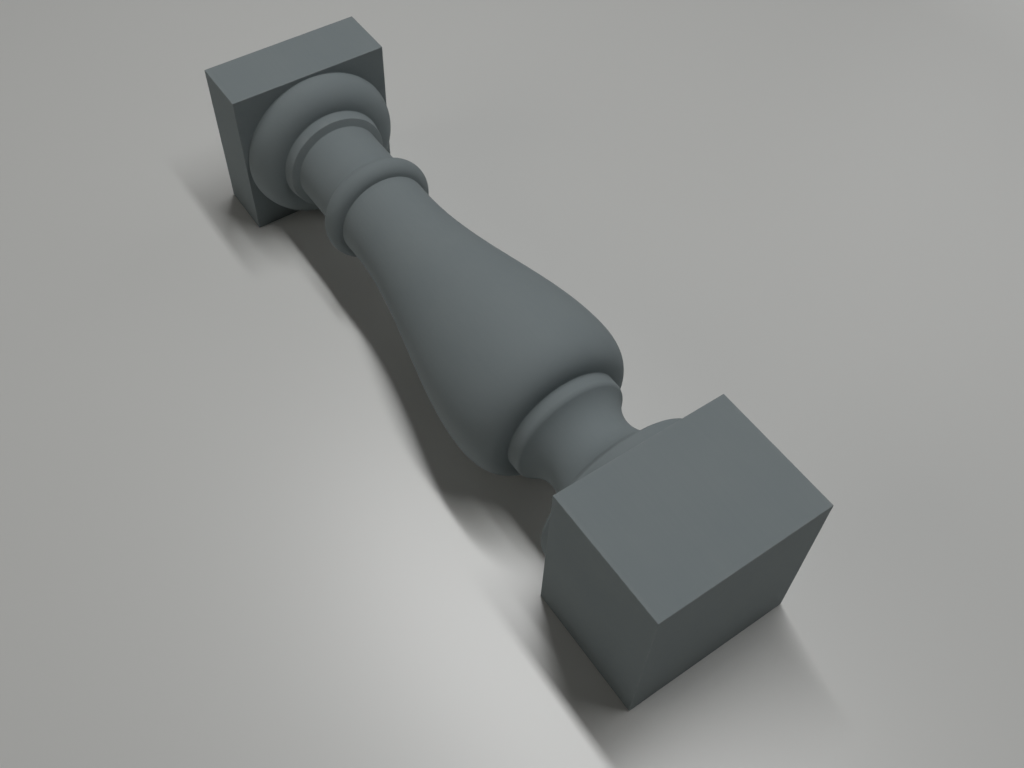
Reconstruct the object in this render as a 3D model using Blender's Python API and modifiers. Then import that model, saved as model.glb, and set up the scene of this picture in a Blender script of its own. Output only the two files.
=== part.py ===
"""Painted wooden baluster, turned from one square billet and lying on its side.

Units are metres. The shape is designed standing up: local +Z runs from the
plinth's underside at 0 to the cap's top at HEIGHT, and radii are measured from
that axis. An empty then lays it down, with the axis level along X, the
underside towards +X and the blocks' flats on the ground at Z = 0.
"""
from math import acos, cos, degrees, pi, radians, sin, tan

import bpy

# The billet
HEIGHT = 0.592              # underside to cap top
SQUARE = 0.140              # side of the plinth and of the cap, across the flats
EDGE_EASE = 0.0008          # width of the softened edges of both blocks

# Foot of the turned part, upwards from the plinth
PLINTH_HEIGHT = 0.102
BASE_BAND_SIDE = 0.006      # upright side of the low round band on the plinth
BASE_BAND_R = 0.0688        # nearly as wide as the square
BASE_BAND_ROUND = 0.004     # rounding of its upper edge
FLANK_SLOPE = 64.8          # degrees from upright of the slope between the band and the hollow
SCOTIA_R = 0.0282           # radius of the hollow's own section
WAIST_R = 0.0349            # thinnest place of the foot, in the hollow
RING_HEIGHT = 0.0128        # band under the belly, from where it leaves the hollow
RING_R = 0.0474
RING_ROUND = 0.0055         # rounding of its lower edge, which runs smoothly into the hollow

# Vase: its length is what the other members leave of the height
BELLY_CLEAR = 0.0004        # the belly stays this far inside the square
BELLY_RISE = 0.0352         # from the band to the widest place
VASE_NECK_R = 0.0390
VASE_NECK_LENGTH = 0.0135   # straight piece under the astragal
BELLY_UNDERCUT = 0.71       # curve handles, as shares of the spans that they bend
BELLY_SIDE = 0.55
SHOULDER_REACH = 0.298
TAPER_REACH = 0.371

# Astragal, neck and cap, upwards from the vase
ASTRAGAL_HEIGHT = 0.0208
ASTRAGAL_R = 0.0483
NECK_LENGTH = 0.0537
NECK_R = 0.0381
STEP_HEIGHT = 0.0025        # sloping face between the neck and the fillet
CAP_FILLET_HEIGHT = 0.0092
CAP_FILLET_R = 0.0446
CAP_FILLET_FLARE = 0.0014   # how much wider the fillet is at its top
OVOLO_HEIGHT = 0.0256
OVOLO_R = 0.0677
OVOLO_RETURN = 0.0028       # height over which the ovolo turns back in below the cap
OVOLO_TUCK = 0.0010         # how far it turns back
CAP_HEIGHT = 0.052

# Modelling
ROUND_STEPS = 56            # sides of the turned part
OVERLAP = 0.012             # how far the turned solid runs into each block before they are joined
MERGE_DISTANCE = 0.00001

PAINT = (0.235, 0.270, 0.280, 1.0)
PAINT_ROUGHNESS = 0.5


def arc(centre_z, centre_r, half_z, half_r, start, end, count):
    """Points (radius, height) on an ellipse; angles in degrees, 0 outwards and 90 up."""
    points = []
    for i in range(count + 1):
        angle = radians(start + (end - start) * i / count)
        points.append((centre_r + half_r * cos(angle), centre_z + half_z * sin(angle)))
    return points


def curve(p0, p1, p2, p3, count):
    """Points (radius, height) on a cubic Bezier curve."""
    points = []
    for i in range(count + 1):
        t = i / count
        weights = ((1 - t) ** 3, 3 * t * (1 - t) ** 2, 3 * t * t * (1 - t), t ** 3)
        radius, height = (sum(w * p[k] for w, p in zip(weights, (p0, p1, p2, p3))) for k in (0, 1))
        points.append((radius, height))
    return points


def half_round(bottom, height, radius, count):
    """A bead whose section is half a circle."""
    half = height / 2
    return arc(bottom + half, radius - half, half, half, -90, 90, count)


def base_band(bottom):
    """The upper edge of the band on the plinth, rounded until it has the flank's slope."""
    centre_r = BASE_BAND_R - BASE_BAND_ROUND
    return arc(bottom + BASE_BAND_SIDE, centre_r, BASE_BAND_ROUND, BASE_BAND_ROUND, 0, FLANK_SLOPE, 5)


def blend_angle():
    """The slope, in degrees, at which the hollow runs into the rounding under the belly."""
    return degrees(acos(1 - (RING_R - WAIST_R) / (SCOTIA_R + RING_ROUND)))


def scotia(foot):
    """The circular hollow. Its lower end runs into the straight flank that starts at the point foot."""
    slope = radians(FLANK_SLOPE)
    low_r = WAIST_R + SCOTIA_R * (1 - cos(slope))
    waist_z = foot[1] + (foot[0] - low_r) / tan(slope) + SCOTIA_R * sin(slope)
    return arc(waist_z, WAIST_R + SCOTIA_R, SCOTIA_R, -SCOTIA_R, -FLANK_SLOPE, blend_angle(), 10)


def band(bottom):
    """The band under the belly: its lower edge rounded, its upper edge sharp."""
    centre_z = bottom + RING_ROUND * sin(radians(blend_angle()))
    points = arc(centre_z, RING_R - RING_ROUND, RING_ROUND, RING_ROUND, -blend_angle(), 0, 5)
    return points + [(RING_R, bottom + RING_HEIGHT)]


def vase(bottom, top):
    """From the band, round the belly and up to the thin end under the astragal."""
    belly_r = SQUARE / 2 - BELLY_CLEAR
    belly_z = bottom + BELLY_RISE
    neck_z = top - VASE_NECK_LENGTH
    taper = neck_z - belly_z
    low = curve((RING_R, bottom), (RING_R + BELLY_UNDERCUT * (belly_r - RING_R), bottom),
                (belly_r, belly_z - BELLY_SIDE * BELLY_RISE), (belly_r, belly_z), 7)
    high = curve((belly_r, belly_z), (belly_r, belly_z + SHOULDER_REACH * taper),
                 (VASE_NECK_R, neck_z - TAPER_REACH * taper), (VASE_NECK_R, neck_z), 14)
    return low + high[1:] + [(VASE_NECK_R, top)]


def ovolo(bottom):
    """The quarter-round under the cap, which turns in a little where it meets it."""
    start_r = CAP_FILLET_R + CAP_FILLET_FLARE
    rise = OVOLO_HEIGHT - OVOLO_RETURN
    points = arc(bottom + rise, start_r, rise, OVOLO_R - start_r, -90, 0, 8)
    return points + [(OVOLO_R - OVOLO_TUCK, bottom + OVOLO_HEIGHT)]


def turned_profile():
    """Half section of the turned part, from its lower end to its upper end."""
    cap_z = HEIGHT - CAP_HEIGHT
    ovolo_z = cap_z - OVOLO_HEIGHT
    fillet_z = ovolo_z - CAP_FILLET_HEIGHT
    neck_top = fillet_z - STEP_HEIGHT
    astragal_top = neck_top - NECK_LENGTH
    astragal_z = astragal_top - ASTRAGAL_HEIGHT

    base = base_band(PLINTH_HEIGHT)
    hollow = scotia(base[-1])
    band_z = hollow[-1][1]

    points = [(0.0, PLINTH_HEIGHT - OVERLAP), (BASE_BAND_R, PLINTH_HEIGHT - OVERLAP)]
    points += base + hollow + band(band_z)[1:]
    points += vase(band_z + RING_HEIGHT, astragal_z)[1:]
    points += half_round(astragal_z, ASTRAGAL_HEIGHT, ASTRAGAL_R, 8)[1:-1]
    points += [(NECK_R, astragal_top), (NECK_R, neck_top)]
    points += [(CAP_FILLET_R, fillet_z), (CAP_FILLET_R + CAP_FILLET_FLARE, ovolo_z)]
    points += ovolo(ovolo_z)[1:]
    points += [(points[-1][0], cap_z + OVERLAP), (0.0, cap_z + OVERLAP)]
    return points


def remove_objects():
    for obj in list(bpy.data.objects):
        bpy.data.objects.remove(obj, do_unlink=True)


def new_collection(name):
    collection = bpy.data.collections.new(name)
    bpy.context.scene.collection.children.link(collection)
    return collection


def paint():
    """Grey-blue satin paint."""
    material = bpy.data.materials.new("grey_blue_paint")
    material.use_nodes = True
    shader = material.node_tree.nodes["Principled BSDF"]
    shader.inputs["Base Color"].default_value = PAINT
    shader.inputs["Roughness"].default_value = PAINT_ROUGHNESS
    shader.inputs["Metallic"].default_value = 0.0
    return material


def laid_down():
    """An empty that turns the upright design onto its side."""
    empty = bpy.data.objects.new("laid_down", None)
    empty.rotation_euler = (0.0, -pi / 2, 0.0)
    empty.location = (HEIGHT / 2, 0.0, SQUARE / 2)
    return empty


def square_block(name, bottom, height, collection):
    """A square block with softened edges, standing on the height bottom."""
    bpy.ops.mesh.primitive_cube_add(size=1.0)
    block = bpy.context.object
    block.name = name
    for vertex in block.data.vertices:
        vertex.co = (vertex.co.x * SQUARE, vertex.co.y * SQUARE, bottom + (vertex.co.z + 0.5) * height)
    ease = block.modifiers.new("softened_edges", "BEVEL")
    ease.width = EDGE_EASE
    ease.segments = 2
    ease.limit_method = "ANGLE"
    for owner in list(block.users_collection):
        owner.objects.unlink(block)
    collection.objects.link(block)
    block.hide_render = True
    block.display_type = "WIRE"
    return block


def turned_part(name, collection):
    """The turned solid, spun from its half section."""
    points = [(radius, 0.0, height) for radius, height in reversed(turned_profile())]
    mesh = bpy.data.meshes.new(name)
    mesh.from_pydata(points, [(i, i + 1) for i in range(len(points) - 1)], [])
    obj = bpy.data.objects.new(name, mesh)
    collection.objects.link(obj)
    spin = obj.modifiers.new("turned", "SCREW")
    spin.axis = "Z"
    spin.angle = 2 * pi
    spin.steps = ROUND_STEPS
    spin.render_steps = ROUND_STEPS
    spin.use_merge_vertices = True
    spin.merge_threshold = MERGE_DISTANCE
    spin.use_smooth_shade = True
    return obj


def join(obj, block):
    """Makes a block one solid with the turned part."""
    union = obj.modifiers.new("joined_" + block.name, "BOOLEAN")
    union.operation = "UNION"
    union.solver = "EXACT"
    union.object = block


def main():
    remove_objects()
    parts = new_collection("wooden_baluster")
    blocks = new_collection("baluster_blocks")
    frame = laid_down()
    parts.objects.link(frame)

    plinth = square_block("plinth_block", 0.0, PLINTH_HEIGHT, blocks)
    cap = square_block("cap_block", HEIGHT - CAP_HEIGHT, CAP_HEIGHT, blocks)
    baluster = turned_part("baluster", parts)
    baluster.data.materials.append(paint())
    for obj in (baluster, plinth, cap):
        obj.parent = frame
    for block in (plinth, cap):
        join(baluster, block)


main()
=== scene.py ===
"""Painted wooden baluster lying on a plain pale floor: its visual model, paint, lights and camera.

Units are metres, in the CAD model's frame: the turning axis lies along X, the
plinth's underside faces +X and the blocks' flats rest on Z = 0. The shape is
worked out standing up, as (radius, height) rings, and is laid down at the end.
"""
from math import acos, asin, cos, degrees, exp, hypot, pi, radians, sin, tan

import bmesh
import bpy
from mathutils import Matrix, Vector


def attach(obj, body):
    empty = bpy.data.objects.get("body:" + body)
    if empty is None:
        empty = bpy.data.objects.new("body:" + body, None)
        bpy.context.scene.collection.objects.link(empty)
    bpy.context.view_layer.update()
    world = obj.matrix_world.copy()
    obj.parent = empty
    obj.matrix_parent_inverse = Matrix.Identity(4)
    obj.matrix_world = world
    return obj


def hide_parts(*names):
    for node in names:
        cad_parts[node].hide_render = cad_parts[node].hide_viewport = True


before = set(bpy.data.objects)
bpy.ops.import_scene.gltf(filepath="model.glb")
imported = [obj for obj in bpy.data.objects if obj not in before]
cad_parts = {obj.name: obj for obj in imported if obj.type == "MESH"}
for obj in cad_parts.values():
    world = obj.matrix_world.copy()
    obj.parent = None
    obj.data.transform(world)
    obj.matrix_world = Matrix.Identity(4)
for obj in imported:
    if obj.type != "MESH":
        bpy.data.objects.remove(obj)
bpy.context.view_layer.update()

# Sizes of the CAD model
HEIGHT = 0.592              # underside to cap top
SQUARE = 0.140              # side of the plinth and of the cap
PLINTH_HEIGHT = 0.102
BASE_BAND_SIDE = 0.006      # upright side of the low round band on the plinth
BASE_BAND_R = 0.0688
BASE_BAND_ROUND = 0.004
FLANK_SLOPE = 64.8          # degrees from upright of the slope between the band and the hollow
SCOTIA_R = 0.0282
WAIST_R = 0.0349
RING_HEIGHT = 0.0128
RING_R = 0.0474
RING_ROUND = 0.0055
BELLY_CLEAR = 0.0004
BELLY_RISE = 0.0352
VASE_NECK_R = 0.0390
VASE_NECK_LENGTH = 0.0135
BELLY_UNDERCUT = 0.71
BELLY_SIDE = 0.55
SHOULDER_REACH = 0.298
TAPER_REACH = 0.371
ASTRAGAL_HEIGHT = 0.0208
ASTRAGAL_R = 0.0483
NECK_LENGTH = 0.0537
NECK_R = 0.0381
STEP_HEIGHT = 0.0025
CAP_FILLET_HEIGHT = 0.0092
CAP_FILLET_R = 0.0446
CAP_FILLET_FLARE = 0.0014
OVOLO_HEIGHT = 0.0256
OVOLO_R = 0.0677
OVOLO_RETURN = 0.0028
OVOLO_TUCK = 0.0010
CAP_HEIGHT = 0.052

# Detail of the visual model
AROUND = 224                # points in each ring, a multiple of 8
BLOCK_EDGE = 0.0006         # rounding of the blocks' edges
CORNER_STEPS = 3            # points on each half of a block's rounded upright edge
EDGE_STEPS = 5              # rings on a block's rounded end edges
SUPPORT = 0.0002            # ring beside a rounding that keeps the flat next to it flat
BAND_GAP = 0.0002           # flat face between the base band's side and the plinth's edge rings
CREASE_EASE = 0.0007        # paint fills the inside corners of the turning by this much
ARRIS_EASE = 0.0006         # rounding of the turning's outside corners
SHARP_TURN = 24.0           # degrees from which a corner of the profile is eased
EASE_STEPS = 4              # pieces in the rounding of a corner of the profile
LEAST_CORNER = 0.2          # smallest corner of a block's rings, as a share of its edge rounding
EDGE_HIGHLIGHT_REACH = 0.0012         # how far the painted highlight reaches from an edge
SUPPORT_HIGHLIGHT = 0.3          # painted edge highlight on the rings beside a block's rounding
CREASE_REACH = 0.0022       # how far the painted shade reaches from an inside corner
END_SHARES = (0.1, 0.4, 0.7, 0.94)  # rings that fill a block's end face, as shares of its size

# The photograph's camera
CAMERA_PLACE = (0.4462, -0.2978, 0.7079)
CAMERA_AZIMUTH = 52.695
CAMERA_ELEVATION = 53.396
CAMERA_ROLL = 3.076
CAMERA_LENS = 37.785
SENSOR_WIDTH = 36.0

# Stage and light
FLOOR_REACH = 2.6           # radius of the floor
COVE = 0.5                  # radius of the sweep from the floor into the wall
WALL_HEIGHT = 3.4
STAGE_SIDES = 96
BOARD_TONES = ((0.733, 0.738, 0.718, 1.0), (0.751, 0.757, 0.738, 1.0))
FLOOR_ROUGHNESS = 0.36      # satin board
FLOOR_SPECULAR = 0.9
STAGE_GLOW = (0.98, 0.98, 0.96, 1.0)
GLOW_START = 0.72           # the stage starts to glow this far out, near the edge of the photograph's view
GLOW_FULL = 1.95
GLOW_STRENGTH = 0.33
WHITE = (1.0, 1.0, 1.0)
WARM_WHITE = (1.0, 0.96, 0.89)
ROOM_LIGHT = 0.016          # even light from all around
STRIP_Y = 0.36              # the strip light hangs along X, a little towards +Y, in three pieces
STRIP_Z = 1.95
STRIP_LENGTH = 0.6          # of each piece
STRIP_WIDTH = 0.1
STRIP_PIECES = (("strip_cap_end", -0.7, 7.3), ("strip_middle", -0.1, 6.8), ("strip_plinth_end", 0.5, 5.4))
FILL_SIZE = (1.5, 1.2)
LOW_FILL_SIZE = (0.14, 0.12)
LOW_FILL_X = 1.3            # in front of the plinth's underside
LOW_FILL_Z = 0.075
LOW_FILL_POWER = 0.46

# Paint
PAINT_DARK = (0.224, 0.261, 0.272, 1.0)
PAINT_LIGHT = (0.237, 0.273, 0.281, 1.0)
PAINT_MOTTLE = (0.243, 0.278, 0.287, 1.0)
PAINT_GRAIN = (0.199, 0.231, 0.242, 1.0)
# lighter paint along the edges and arrises: a painted highlight
PAINT_EDGE_HIGHLIGHT = (0.300, 0.330, 0.336, 1.0)
# darker paint in the inside corners of the turning: painted shade
PAINT_CREASE_SHADE = (0.164, 0.186, 0.192, 1.0)
PAINT_SPECULAR = 0.4
GRAIN_STRETCH = (0.035, 1.0, 1.0)   # the grain runs along the baluster


def arc(centre_z, centre_r, half_z, half_r, start, end, count):
    """Points (radius, height) on an ellipse; angles in degrees, 0 outwards and 90 up."""
    points = []
    for i in range(count + 1):
        angle = radians(start + (end - start) * i / count)
        points.append((centre_r + half_r * cos(angle), centre_z + half_z * sin(angle)))
    return points


def curve(p0, p1, p2, p3, count):
    """Points (radius, height) on a cubic Bezier curve."""
    points = []
    for i in range(count + 1):
        t = i / count
        weights = ((1 - t) ** 3, 3 * t * (1 - t) ** 2, 3 * t * t * (1 - t), t ** 3)
        radius, height = (sum(w * p[k] for w, p in zip(weights, (p0, p1, p2, p3))) for k in (0, 1))
        points.append((radius, height))
    return points


def base_band_points():
    """The low band on the plinth, from the plinth's face to its upper edge, rounded to the flank's slope."""
    side_top = PLINTH_HEIGHT + BASE_BAND_SIDE
    edge = arc(side_top, BASE_BAND_R - BASE_BAND_ROUND, BASE_BAND_ROUND, BASE_BAND_ROUND, 0, FLANK_SLOPE, 12)
    return [(BASE_BAND_R, PLINTH_HEIGHT), (BASE_BAND_R, (PLINTH_HEIGHT + side_top) / 2)] + edge


def blend_angle():
    """The slope, in degrees, at which the hollow runs into the rounding under the belly."""
    return degrees(acos(1 - (RING_R - WAIST_R) / (SCOTIA_R + RING_ROUND)))


def scotia_points(foot):
    """The circular hollow. Its lower end runs into the straight flank that starts at the point foot."""
    slope = radians(FLANK_SLOPE)
    low_r = WAIST_R + SCOTIA_R * (1 - cos(slope))
    waist_z = foot[1] + (foot[0] - low_r) / tan(slope) + SCOTIA_R * sin(slope)
    return arc(waist_z, WAIST_R + SCOTIA_R, SCOTIA_R, -SCOTIA_R, -FLANK_SLOPE, blend_angle(), 30)


def ring_points(bottom):
    """The band under the belly: its lower edge rounded, its upper edge sharp."""
    centre_z = bottom + RING_ROUND * sin(radians(blend_angle()))
    low = arc(centre_z, RING_R - RING_ROUND, RING_ROUND, RING_ROUND, -blend_angle(), 0, 12)
    return low + [(RING_R, bottom + RING_HEIGHT * 0.7), (RING_R, bottom + RING_HEIGHT)]


def vase_points(bottom, top):
    """From the band, round the belly and up to the thin end under the astragal."""
    belly_r = SQUARE / 2 - BELLY_CLEAR
    belly_z = bottom + BELLY_RISE
    neck_z = top - VASE_NECK_LENGTH
    taper = neck_z - belly_z
    low = curve((RING_R, bottom), (RING_R + BELLY_UNDERCUT * (belly_r - RING_R), bottom),
                (belly_r, belly_z - BELLY_SIDE * BELLY_RISE), (belly_r, belly_z), 20)
    high = curve((belly_r, belly_z), (belly_r, belly_z + SHOULDER_REACH * taper),
                 (VASE_NECK_R, neck_z - TAPER_REACH * taper), (VASE_NECK_R, neck_z), 44)
    return low + high[1:] + [(VASE_NECK_R, neck_z + VASE_NECK_LENGTH / 2), (VASE_NECK_R, top)]


def astragal_points(bottom):
    """The bead between the vase and the neck, half a circle in section."""
    half = ASTRAGAL_HEIGHT / 2
    return arc(bottom + half, ASTRAGAL_R - half, half, half, -90, 90, 24)


def ovolo_points(bottom):
    """The quarter-round under the cap, which turns in a little where it meets it."""
    start_r = CAP_FILLET_R + CAP_FILLET_FLARE
    rise = OVOLO_HEIGHT - OVOLO_RETURN
    points = arc(bottom + rise, start_r, rise, OVOLO_R - start_r, -90, 0, 22)
    return points + [(OVOLO_R - OVOLO_TUCK, bottom + OVOLO_HEIGHT)]


def turned_profile():
    """Half section of the turned part, from the plinth's face to the cap's face."""
    cap_z = HEIGHT - CAP_HEIGHT
    ovolo_z = cap_z - OVOLO_HEIGHT
    fillet_z = ovolo_z - CAP_FILLET_HEIGHT
    neck_top = fillet_z - STEP_HEIGHT
    astragal_top = neck_top - NECK_LENGTH
    astragal_z = astragal_top - ASTRAGAL_HEIGHT

    base = base_band_points()
    hollow = scotia_points(base[-1])
    ring_z = hollow[-1][1]

    points = [(BASE_BAND_R + BAND_GAP, PLINTH_HEIGHT)]
    points += base + hollow + ring_points(ring_z)[1:]
    points += vase_points(ring_z + RING_HEIGHT, astragal_z)[1:]
    points += astragal_points(astragal_z)[1:-1]
    points += [(NECK_R, astragal_top), (NECK_R, astragal_top + NECK_LENGTH / 3)]
    points += [(NECK_R, neck_top - NECK_LENGTH / 3), (NECK_R, neck_top)]
    points += [(CAP_FILLET_R, fillet_z), (CAP_FILLET_R + CAP_FILLET_FLARE, ovolo_z)]
    points += ovolo_points(ovolo_z)[1:]
    points += [(points[-1][0] + CREASE_EASE * 3, cap_z)]
    return points


def towards(a, b, distance):
    """The point at a distance from a on the way to b."""
    share = distance / hypot(b[0] - a[0], b[1] - a[1])
    return (a[0] + (b[0] - a[0]) * share, a[1] + (b[1] - a[1]) * share)


def eased(points):
    """Rounds the profile's sharp corners. Returns the points and the corners as (point, is_outside)."""
    result = [points[0]]
    corners = []
    for before, here, after in zip(points, points[1:], points[2:]):
        ax, ay = here[0] - before[0], here[1] - before[1]
        bx, by = after[0] - here[0], after[1] - here[1]
        cross = ax * by - ay * bx
        turn = degrees(asin(max(-1.0, min(1.0, cross / (hypot(ax, ay) * hypot(bx, by))))))
        if ax * bx + ay * by < 0:
            turn = (180 - abs(turn)) * (1 if turn > 0 else -1)
        if abs(turn) < SHARP_TURN:
            result.append(here)
            continue
        outside = turn > 0
        reach = ARRIS_EASE if outside else CREASE_EASE
        reach = min(reach, hypot(ax, ay) * 0.45, hypot(bx, by) * 0.45)
        start = towards(here, before, reach)
        end = towards(here, after, reach)
        for i in range(EASE_STEPS + 1):
            t = i / EASE_STEPS
            result.append(tuple((1 - t) ** 2 * start[k] + 2 * t * (1 - t) * here[k] + t * t * end[k]
                                for k in (0, 1)))
        corners.append((here, outside))
    result.append(points[-1])
    return result, corners


def round_ring(radius, height):
    """A circle of AROUND points. It starts in the direction of a block's corner."""
    ring = []
    for i in range(AROUND):
        angle = -pi / 4 + 2 * pi * i / AROUND
        ring.append((radius * cos(angle), radius * sin(angle), height))
    return ring


def square_ring(half, corner, height):
    """A square of AROUND points with rounded corners, half its side being half."""
    side = []
    centre = half - corner
    for i in range(CORNER_STEPS):
        angle = radians(-45 + 45 * i / CORNER_STEPS)
        side.append((centre + corner * cos(angle), -centre + corner * sin(angle)))
    flat = AROUND // 4 - 2 * CORNER_STEPS
    side.append((half, -centre))
    for i in range(flat - 1):
        side.append((half, (centre - SUPPORT) * (2 * i / (flat - 2) - 1)))
    side.append((half, centre))
    for i in range(1, CORNER_STEPS):
        angle = radians(45 * i / CORNER_STEPS)
        side.append((centre + corner * cos(angle), centre + corner * sin(angle)))
    ring = []
    for quarter in range(4):
        ring += [(x, y, height) for x, y in side]
        side = [(-y, x) for x, y in side]
    return ring


def edge_ring(step, face, inwards):
    """One ring on the rounding between a block's end face and its sides. Step 0 is on the face."""
    angle = radians(90 * step / EDGE_STEPS)
    half = SQUARE / 2 - BLOCK_EDGE * (1 - sin(angle))
    corner = BLOCK_EDGE * max(sin(angle), LEAST_CORNER)
    return square_ring(half, corner, face + inwards * BLOCK_EDGE * (1 - cos(angle)))


def block_rings(bottom, height):
    """Rings of a square block, from inside its lower face to inside its upper face, with their painted edge
    highlight.
    """
    edge = BLOCK_EDGE + SUPPORT
    top = bottom + height
    inner = SQUARE / 2 - edge
    rings = [(square_ring(inner, BLOCK_EDGE * LEAST_CORNER, bottom), SUPPORT_HIGHLIGHT)]
    rings += [(edge_ring(step, bottom, 1), 1.0) for step in range(EDGE_STEPS + 1)]
    for share in (0.0, 0.02, 0.25, 0.5, 0.75, 0.98, 1.0):
        highlighted = SUPPORT_HIGHLIGHT if share in (0.0, 1.0) else 0.0
        rings.append((square_ring(SQUARE / 2, BLOCK_EDGE, bottom + edge + (height - 2 * edge) * share), highlighted))
    rings += [(edge_ring(step, top, -1), 1.0) for step in range(EDGE_STEPS, -1, -1)]
    rings.append((square_ring(inner, BLOCK_EDGE * LEAST_CORNER, top), SUPPORT_HIGHLIGHT))
    return rings


def end_rings(height, shares):
    """Rings that fill a block's end face. They have no painted edge highlight."""
    rings = []
    for share in shares:
        half = (SQUARE / 2 - BLOCK_EDGE - SUPPORT) * share
        rings.append((square_ring(half, BLOCK_EDGE * LEAST_CORNER, height), 0.0))
    return rings


def all_rings():
    """Every ring from the underside to the cap top: (points, painted edge highlight, painted crease shade).
    """
    rings = [(ring, edge_highlight, 0.0) for ring, edge_highlight in end_rings(0.0, END_SHARES)]
    rings += [(ring, edge_highlight, 0.0) for ring, edge_highlight in block_rings(0.0, PLINTH_HEIGHT)]
    profile, corners = eased(turned_profile())
    for point in profile:
        # near outside corners the paint gets a painted highlight, near inside corners painted shade
        edge_highlight = crease = 0.0
        for corner, outside in corners:
            away = hypot(point[0] - corner[0], point[1] - corner[1])
            if outside:
                edge_highlight = max(edge_highlight, exp(-(away / EDGE_HIGHLIGHT_REACH) ** 2))
            else:
                crease = max(crease, exp(-away / CREASE_REACH))
        rings.append((round_ring(*point), edge_highlight, crease))
    cap_z = HEIGHT - CAP_HEIGHT
    rings += [(ring, edge_highlight, 0.0) for ring, edge_highlight in block_rings(cap_z, CAP_HEIGHT)]
    rings += [(ring, edge_highlight, 0.0) for ring, edge_highlight in end_rings(HEIGHT, reversed(END_SHARES))]
    return rings


def laid_down(point):
    """Turns a point of the upright design onto its side, into the CAD model's frame."""
    x, y, z = point
    return (HEIGHT / 2 - z, y, SQUARE / 2 + x)


def upright_edge_highlight(point):
    """Painted highlight of a block's long edges, from a point of the upright design."""
    away = hypot(SQUARE / 2 - abs(point[0]), SQUARE / 2 - abs(point[1]))
    return exp(-(away / EDGE_HIGHLIGHT_REACH) ** 2)


def baluster_mesh():
    """One closed mesh of rings, with the masks for the painted edge highlight and the painted crease shade
    that its paint reads.
    """
    mesh = bpy.data.meshes.new("baluster_body")
    bm = bmesh.new()
    edge_highlight_layer = bm.verts.layers.float.new("edge_highlight")
    crease_layer = bm.verts.layers.float.new("crease")
    loops = []
    for ring, edge_highlight, crease in all_rings():
        loop = []
        for point in ring:
            vert = bm.verts.new(laid_down(point))
            vert[edge_highlight_layer] = max(edge_highlight, upright_edge_highlight(point))
            vert[crease_layer] = crease
            loop.append(vert)
        loops.append(loop)
    for low, high in zip(loops, loops[1:]):
        for i in range(AROUND):
            k = (i + 1) % AROUND
            bm.faces.new((low[i], low[k], high[k], high[i]))
    for loop, height in ((loops[0], 0.0), (loops[-1], HEIGHT)):
        centre = bm.verts.new(laid_down((0.0, 0.0, height)))
        for i in range(AROUND):
            bm.faces.new((centre, loop[i], loop[(i + 1) % AROUND]))
    bmesh.ops.recalc_face_normals(bm, faces=bm.faces)
    for face in bm.faces:
        face.smooth = True
    bm.to_mesh(mesh)
    bm.free()
    return mesh


class Nodes:
    """Short ways to add shader nodes to one material."""

    def __init__(self, material):
        material.use_nodes = True
        self.tree = material.node_tree
        self.shader = self.tree.nodes["Principled BSDF"]

    def add(self, kind, **values):
        node = self.tree.nodes.new(kind)
        for name, value in values.items():
            setattr(node, name, value)
        return node

    def link(self, source, target):
        self.tree.links.new(source, target)

    def feed(self, socket, value):
        if isinstance(value, bpy.types.NodeSocket):
            self.link(value, socket)
        else:
            socket.default_value = value

    def math(self, operation, a, b):
        node = self.add("ShaderNodeMath", operation=operation)
        self.feed(node.inputs[0], a)
        self.feed(node.inputs[1], b)
        return node.outputs[0]

    def remap(self, value, low, high, to_low, to_high):
        node = self.add("ShaderNodeMapRange", clamp=True)
        for name, number in (("From Min", low), ("From Max", high), ("To Min", to_low), ("To Max", to_high)):
            node.inputs[name].default_value = number
        self.link(value, node.inputs["Value"])
        return node.outputs[0]

    def noise(self, place, scale, detail, roughness, stretch=(1.0, 1.0, 1.0)):
        mapping = self.add("ShaderNodeMapping")
        mapping.inputs["Scale"].default_value = stretch
        self.link(place, mapping.inputs["Vector"])
        node = self.add("ShaderNodeTexNoise")
        node.inputs["Scale"].default_value = scale
        node.inputs["Detail"].default_value = detail
        node.inputs["Roughness"].default_value = roughness
        self.link(mapping.outputs[0], node.inputs["Vector"])
        return node.outputs["Fac"]

    def mix(self, share, a, b):
        """Mixes two colours. Inputs 6 and 7 and output 2 are the node's colour sockets."""
        node = self.add("ShaderNodeMix", data_type="RGBA")
        self.feed(node.inputs["Factor"], share)
        self.feed(node.inputs[6], a)
        self.feed(node.inputs[7], b)
        return node.outputs[2]

    def bump(self, height, strength, distance, normal=None):
        node = self.add("ShaderNodeBump")
        node.inputs["Strength"].default_value = strength
        node.inputs["Distance"].default_value = distance
        self.link(height, node.inputs["Height"])
        if normal is not None:
            self.link(normal, node.inputs["Normal"])
        return node.outputs["Normal"]


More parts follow.
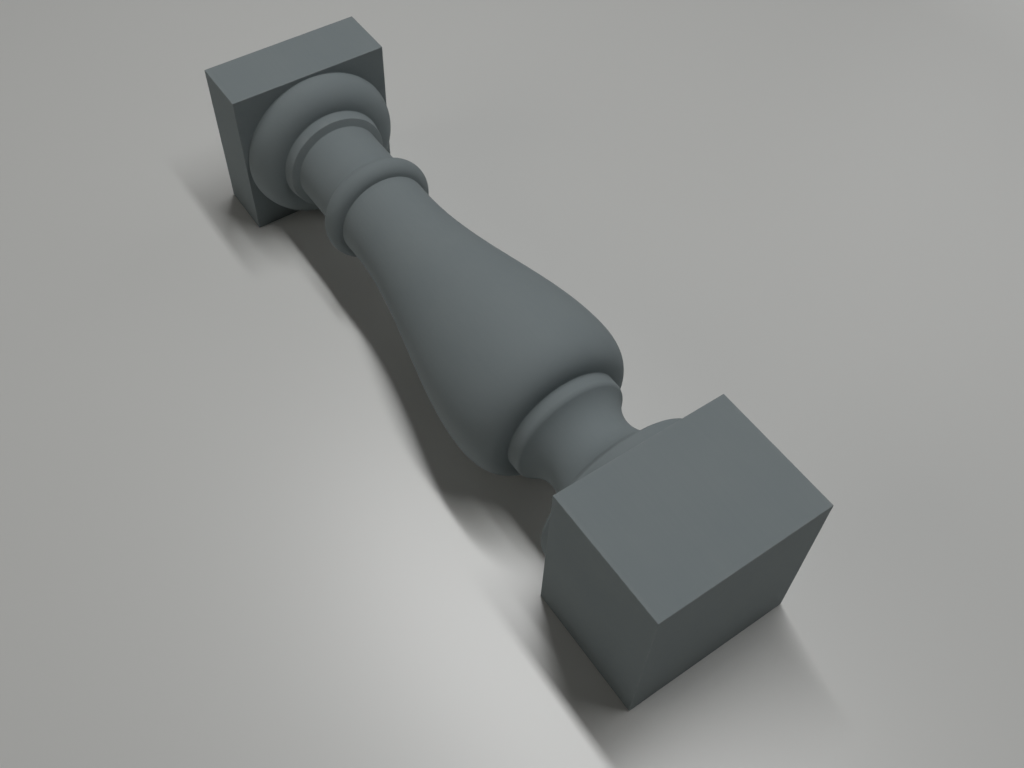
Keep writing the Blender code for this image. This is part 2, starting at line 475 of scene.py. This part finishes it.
def painted_wood():
    """Matte grey-blue paint over sanded wood, with a painted highlight along the edges and painted shade in
    the inside corners.
    """
    material = bpy.data.materials.new("painted_wood")
    n = Nodes(material)
    place = n.add("ShaderNodeTexCoord").outputs["Object"]
    edge_highlight = n.add("ShaderNodeAttribute", attribute_name="edge_highlight").outputs["Fac"]
    crease = n.add("ShaderNodeAttribute", attribute_name="crease").outputs["Fac"]

    clouds = n.noise(place, 14.0, 3.0, 0.55)
    mottle = n.noise(place, 95.0, 4.0, 0.6)
    grain = n.noise(place, 420.0, 3.0, 0.6, GRAIN_STRETCH)
    peel = n.noise(place, 1500.0, 2.0, 0.5)

    paint = n.mix(n.remap(clouds, 0.35, 0.65, 0.0, 1.0), PAINT_DARK, PAINT_LIGHT)
    paint = n.mix(n.remap(mottle, 0.3, 0.7, 0.0, 0.35), paint, PAINT_MOTTLE)
    paint = n.mix(n.remap(grain, 0.35, 0.75, 0.0, 0.14), paint, PAINT_GRAIN)
    # lighter paint on the edges is a painted highlight; the edges are also a little less rough
    highlight_share = n.math("MULTIPLY", edge_highlight, n.remap(mottle, 0.42, 0.68, 0.05, 0.5))
    paint = n.mix(highlight_share, paint, PAINT_EDGE_HIGHLIGHT)
    # darker paint in the inside corners is painted shade
    crease_shade_share = n.math("MULTIPLY", crease, n.remap(clouds, 0.3, 0.7, 0.10, 0.28))
    paint = n.mix(crease_shade_share, paint, PAINT_CREASE_SHADE)
    n.link(paint, n.shader.inputs["Base Color"])

    rough = n.remap(mottle, 0.3, 0.7, 0.76, 0.84)
    rough = n.math("SUBTRACT", rough, n.math("MULTIPLY", edge_highlight, 0.06))
    n.link(rough, n.shader.inputs["Roughness"])
    n.shader.inputs["Metallic"].default_value = 0.0
    n.shader.inputs["Specular IOR Level"].default_value = PAINT_SPECULAR

    normal = n.bump(clouds, 0.25, 0.0016)
    normal = n.bump(grain, 0.20, 0.00010, normal)
    normal = n.bump(peel, 0.22, 0.00006, normal)
    n.link(normal, n.shader.inputs["Normal"])
    return material


def pale_finish(name, roughness, specular):
    """Pale board for the stage. Far from the baluster it glows a little, as lit surroundings would."""
    material = bpy.data.materials.new(name)
    n = Nodes(material)
    place = n.add("ShaderNodeTexCoord").outputs["Object"]
    tone = n.remap(n.noise(place, 1.6, 2.0, 0.5), 0.3, 0.7, 0.0, 1.0)
    n.link(n.mix(tone, *BOARD_TONES), n.shader.inputs["Base Color"])
    n.shader.inputs["Roughness"].default_value = roughness
    n.shader.inputs["Specular IOR Level"].default_value = specular
    away = n.add("ShaderNodeVectorMath", operation="LENGTH")
    n.link(place, away.inputs[0])
    n.shader.inputs["Emission Color"].default_value = STAGE_GLOW
    glow = n.remap(away.outputs["Value"], GLOW_START, GLOW_FULL, 0.0, GLOW_STRENGTH)
    n.link(glow, n.shader.inputs["Emission Strength"])
    return material


def round_sheet(name, rings, material):
    """A smooth round sheet through rings given as (radius, height). One ring alone makes a disc."""
    vertices = []
    for radius, height in rings:
        for i in range(STAGE_SIDES):
            angle = 2 * pi * i / STAGE_SIDES
            vertices.append((radius * cos(angle), radius * sin(angle), height))
    faces = [tuple(range(STAGE_SIDES))] if len(rings) == 1 else []
    for row in range(len(rings) - 1):
        for i in range(STAGE_SIDES):
            k = (i + 1) % STAGE_SIDES
            low, high = row * STAGE_SIDES, (row + 1) * STAGE_SIDES
            faces.append((low + i, low + k, high + k, high + i))
    mesh = bpy.data.meshes.new(name)
    mesh.from_pydata(vertices, [], faces)
    mesh.materials.append(material)
    for face in mesh.polygons:
        face.use_smooth = True
    obj = bpy.data.objects.new(name, mesh)
    bpy.context.scene.collection.objects.link(obj)
    return obj


def make_stage():
    """A round pale floor that sweeps up into a matte pale wall. The wall is seen, but lights nothing."""
    board = pale_finish("pale_floor", FLOOR_ROUGHNESS, FLOOR_SPECULAR)
    round_sheet("floor", [(FLOOR_REACH, 0.0)], board)
    sweep = arc(COVE, FLOOR_REACH, COVE, COVE, -90, 0, 12)
    matte = pale_finish("pale_wall", 1.0, 0.0)
    wall = round_sheet("backdrop", sweep + [(FLOOR_REACH + COVE, WALL_HEIGHT)], matte)
    wall.visible_diffuse = False
    wall.visible_glossy = False
    wall.visible_shadow = False


def area_light(name, place, aim, width, depth, power, colour):
    """A rectangular light aimed at a point. The camera doesn't see it."""
    light = bpy.data.lights.new(name, "AREA")
    light.shape = "RECTANGLE"
    light.size = width
    light.size_y = depth
    light.energy = power
    light.color = colour
    obj = bpy.data.objects.new(name, light)
    obj.location = place
    obj.rotation_euler = (Vector(aim) - Vector(place)).to_track_quat("-Z", "Y").to_euler()
    obj.visible_camera = False
    bpy.context.scene.collection.objects.link(obj)
    return obj


def make_lights(body):
    """A long strip light over the baluster, weak fill from three sides, and a low fill for its underside.

    The low fill lights the baluster alone and leaves no mark on the floor.
    """
    for name, x, power in STRIP_PIECES:
        area_light(name, (x, STRIP_Y, STRIP_Z), (x, 0.0, 0.0), STRIP_LENGTH, STRIP_WIDTH, power, WHITE)
    middle = (0.0, 0.0, 0.0)
    area_light("fill_front", (-0.4, -2.0, 1.2), middle, *FILL_SIZE, 5.0, WARM_WHITE)
    area_light("fill_back", (-0.2, 2.0, 1.1), middle, *FILL_SIZE, 2.7, WHITE)
    area_light("fill_cap_end", (-2.2, 0.2, 1.2), middle, *FILL_SIZE, 0.6, WHITE)
    low = area_light("fill_underside", (LOW_FILL_X, 0.0, LOW_FILL_Z), (0.0, 0.0, LOW_FILL_Z), *LOW_FILL_SIZE,
                     LOW_FILL_POWER, WARM_WHITE)
    lit = bpy.data.collections.new("lit_by_fill_underside")
    lit.objects.link(body)
    low.light_linking.receiver_collection = lit
    world = bpy.data.worlds.new("room")
    bpy.context.scene.world = world
    world.use_nodes = True
    background = world.node_tree.nodes["Background"]
    background.inputs["Color"].default_value = (*WHITE, 1.0)
    background.inputs["Strength"].default_value = ROOM_LIGHT


def make_camera():
    """The photograph's camera, solved from the blocks' corners and the rings' outlines."""
    azimuth = radians(CAMERA_AZIMUTH)
    elevation = radians(CAMERA_ELEVATION)
    back = Vector((sin(azimuth) * cos(elevation), -cos(azimuth) * cos(elevation), sin(elevation)))
    level = Vector((cos(azimuth), sin(azimuth), 0.0))
    right = Matrix.Rotation(radians(CAMERA_ROLL), 3, back) @ level
    up = back.cross(right)
    camera = bpy.data.cameras.new("camera")
    camera.sensor_width = SENSOR_WIDTH
    camera.lens = CAMERA_LENS
    camera.clip_start = 0.02
    obj = bpy.data.objects.new("camera", camera)
    obj.matrix_world = Matrix.Translation(CAMERA_PLACE) @ Matrix((right, up, back)).transposed().to_4x4()
    bpy.context.scene.collection.objects.link(obj)
    bpy.context.scene.camera = obj


def main():
    body = bpy.data.objects.new("baluster_body", baluster_mesh())
    body.data.materials.append(painted_wood())
    bpy.context.scene.collection.objects.link(body)
    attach(body, "root")
    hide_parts("baluster")

    make_stage()
    make_lights(body)
    make_camera()
    bpy.context.scene.view_settings.view_transform = "Standard"

    bpy.context.view_layer.update()


main()
